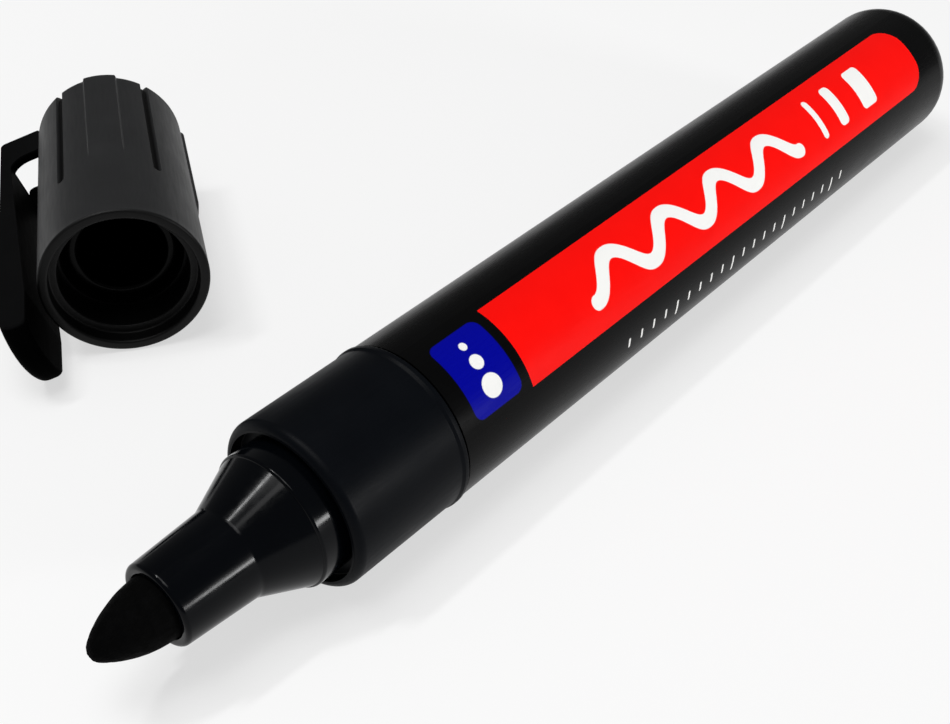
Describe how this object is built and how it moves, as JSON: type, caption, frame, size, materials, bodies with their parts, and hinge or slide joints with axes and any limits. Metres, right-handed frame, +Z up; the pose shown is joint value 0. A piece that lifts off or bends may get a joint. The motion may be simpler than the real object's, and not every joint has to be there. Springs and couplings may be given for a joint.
{
  "type": "permanent marker",
  "caption": "Round felt-tip permanent marker with a bullet nib, printed barrel and a ribbed pull-off cap with pocket clip lying beside it.",
  "frame": {"origin": "on the marker's axis at the front edge of the barrel, where the collar meets it", "axes": "+X along the marker towards its rear end, the nib towards -X; +Z up from the table, which is 8 mm below the origin; the loose cap lies on the +Y side"},
  "size_m": [0.1245, 0.075, 0.0171],
  "materials": {
    "barrel_black": "satin moulded plastic",
    "print_red": "red print with white line-width bars",
    "collar_black": "fine matte texture",
    "holder_black": "glossy moulded plastic",
    "nib_felt": "pressed fibre soaked with ink",
    "filler_fibre": "drawn fibre bundle soaked with ink",
    "film_clear": "thin plastic film",
    "cap_black": "satin moulded plastic",
    "sleeve_black": "smooth soft plastic",
    "clip_black": "satin moulded plastic"
  },
  "bodies": {
    "marker": {"barrel": "barrel_black", "printed_panel": "print_red", "front_collar": "collar_black", "nib_holder": "holder_black", "ink_filler": "filler_fibre", "filler_film": "film_clear"},
    "nib": {"nib": "nib_felt"},
    "cap": {"cap_shell": "cap_black", "cap_sealing_sleeve": "sleeve_black"},
    "clip": {"cap_clip": "clip_black"}
  },
  "joints": [
    {"name": "nib_pull", "type": "slide", "parent": "marker", "child": "nib", "axis": [-1, 0, 0], "range_m": [0, 0.044]},
    {"name": "cap_slide", "type": "slide", "parent": "marker", "child": "cap", "axis": [0.575, 0.8181, 0], "range_m": [0, 0.025]},
    {"name": "clip_flex", "type": "hinge", "parent": "cap", "child": "clip", "pos_m": [0.00739, 0.06206, -0.00212], "axis": [0.2528, -0.1777, -0.9511], "range_deg": [0, 4], "stiffness_Nm_per_rad": 1.2}
  ]
}
